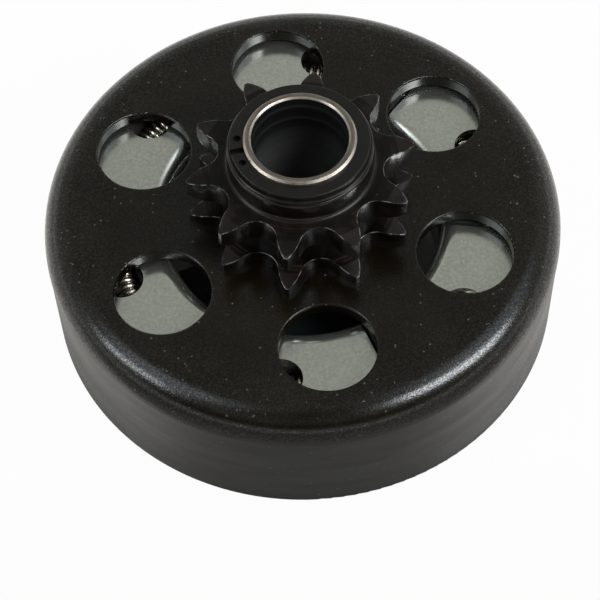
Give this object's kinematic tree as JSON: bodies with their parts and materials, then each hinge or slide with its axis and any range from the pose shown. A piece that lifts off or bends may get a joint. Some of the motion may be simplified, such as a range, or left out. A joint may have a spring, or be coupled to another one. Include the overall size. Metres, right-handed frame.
{
  "type": "centrifugal sprocket clutch",
  "caption": "Drum-type centrifugal clutch: a keyed hub throws out spring-held shoes to grip a pressed drum that carries a two-row chain sprocket.",
  "frame": {"origin": "on the shaft axis at the foot of the hub's collar, the face that the clutch stands on", "axes": "+Z along the shaft axis towards the sprocket and the retaining ring; -Y is the side that the picture shows in front"},
  "size_m": [0.1058, 0.1058, 0.0635],
  "materials": {
    "turned_steel": "turned, bare",
    "black_screw_steel": "black oxide",
    "black_spring_steel": "black oxide, satin",
    "black_oxide_pressing": "black oxide, semi-gloss",
    "black_oxide_sprocket": "black oxide over turned and milled steel",
    "sintered_bronze": "sintered, oiled",
    "spring_wire": "bright drawn",
    "zinc_plated_sheet": "zinc plated, satin",
    "friction_material": "moulded, matt",
    "rivet_steel": "zinc plated"
  },
  "bodies": {
    "hub": {"hub": "turned_steel", "set_screws": "black_screw_steel", "inner_thrust_washer": "turned_steel", "outer_thrust_washer": "turned_steel", "retaining_ring": "black_spring_steel", "front_garter_spring": "spring_wire", "rear_garter_spring": "spring_wire"},
    "drum_and_sprocket": {"drum": "black_oxide_pressing", "sprocket": "black_oxide_sprocket", "bronze_bushing": "sintered_bronze"},
    "shoe_1": {"shoe_shell_1": "zinc_plated_sheet", "friction_block_1": "friction_material", "shoe_rivets_1": "rivet_steel"},
    "shoe_2": {"shoe_shell_2": "zinc_plated_sheet", "friction_block_2": "friction_material", "shoe_rivets_2": "rivet_steel"},
    "shoe_3": {"shoe_shell_3": "zinc_plated_sheet", "friction_block_3": "friction_material", "shoe_rivets_3": "rivet_steel"},
    "shoe_4": {"shoe_shell_4": "zinc_plated_sheet", "friction_block_4": "friction_material", "shoe_rivets_4": "rivet_steel"},
    "shoe_5": {"shoe_shell_5": "zinc_plated_sheet", "friction_block_5": "friction_material", "shoe_rivets_5": "rivet_steel"},
    "shoe_6": {"shoe_shell_6": "zinc_plated_sheet", "friction_block_6": "friction_material", "shoe_rivets_6": "rivet_steel"}
  },
  "joints": [
    {"name": "drum_turns_on_hub", "type": "hinge", "parent": "hub", "child": "drum_and_sprocket", "pos_m": [0, 0, 0.0515], "axis": [0, 0, 1], "continuous": true},
    {"name": "shoe_1_slides_out", "type": "slide", "parent": "hub", "child": "shoe_1", "axis": [0.9252, 0.3795, 0], "range_m": [0, 0.001], "stiffness_N_per_m": 100, "springref_m": -0.004, "deforming": ["front_garter_spring", "rear_garter_spring"]},
    {"name": "shoe_2_slides_out", "type": "slide", "parent": "hub", "child": "shoe_2", "axis": [0.134, 0.991, 0], "range_m": [0, 0.001], "stiffness_N_per_m": 100, "springref_m": -0.004},
    {"name": "shoe_3_slides_out", "type": "slide", "parent": "hub", "child": "shoe_3", "axis": [-0.7912, 0.6115, 0], "range_m": [0, 0.001], "stiffness_N_per_m": 100, "springref_m": -0.004},
    {"name": "shoe_4_slides_out", "type": "slide", "parent": "hub", "child": "shoe_4", "axis": [-0.9252, -0.3795, 0], "range_m": [0, 0.001], "stiffness_N_per_m": 100, "springref_m": -0.004},
    {"name": "shoe_5_slides_out", "type": "slide", "parent": "hub", "child": "shoe_5", "axis": [-0.134, -0.991, 0], "range_m": [0, 0.001], "stiffness_N_per_m": 100, "springref_m": -0.004},
    {"name": "shoe_6_slides_out", "type": "slide", "parent": "hub", "child": "shoe_6", "axis": [0.7912, -0.6115, 0], "range_m": [0, 0.001], "stiffness_N_per_m": 100, "springref_m": -0.004}
  ],
  "couplings": [
    {"joint": "shoe_2_slides_out", "follows": "shoe_1_slides_out", "ratio": 1},
    {"joint": "shoe_3_slides_out", "follows": "shoe_1_slides_out", "ratio": 1},
    {"joint": "shoe_4_slides_out", "follows": "shoe_1_slides_out", "ratio": 1},
    {"joint": "shoe_5_slides_out", "follows": "shoe_1_slides_out", "ratio": 1},
    {"joint": "shoe_6_slides_out", "follows": "shoe_1_slides_out", "ratio": 1}
  ]
}
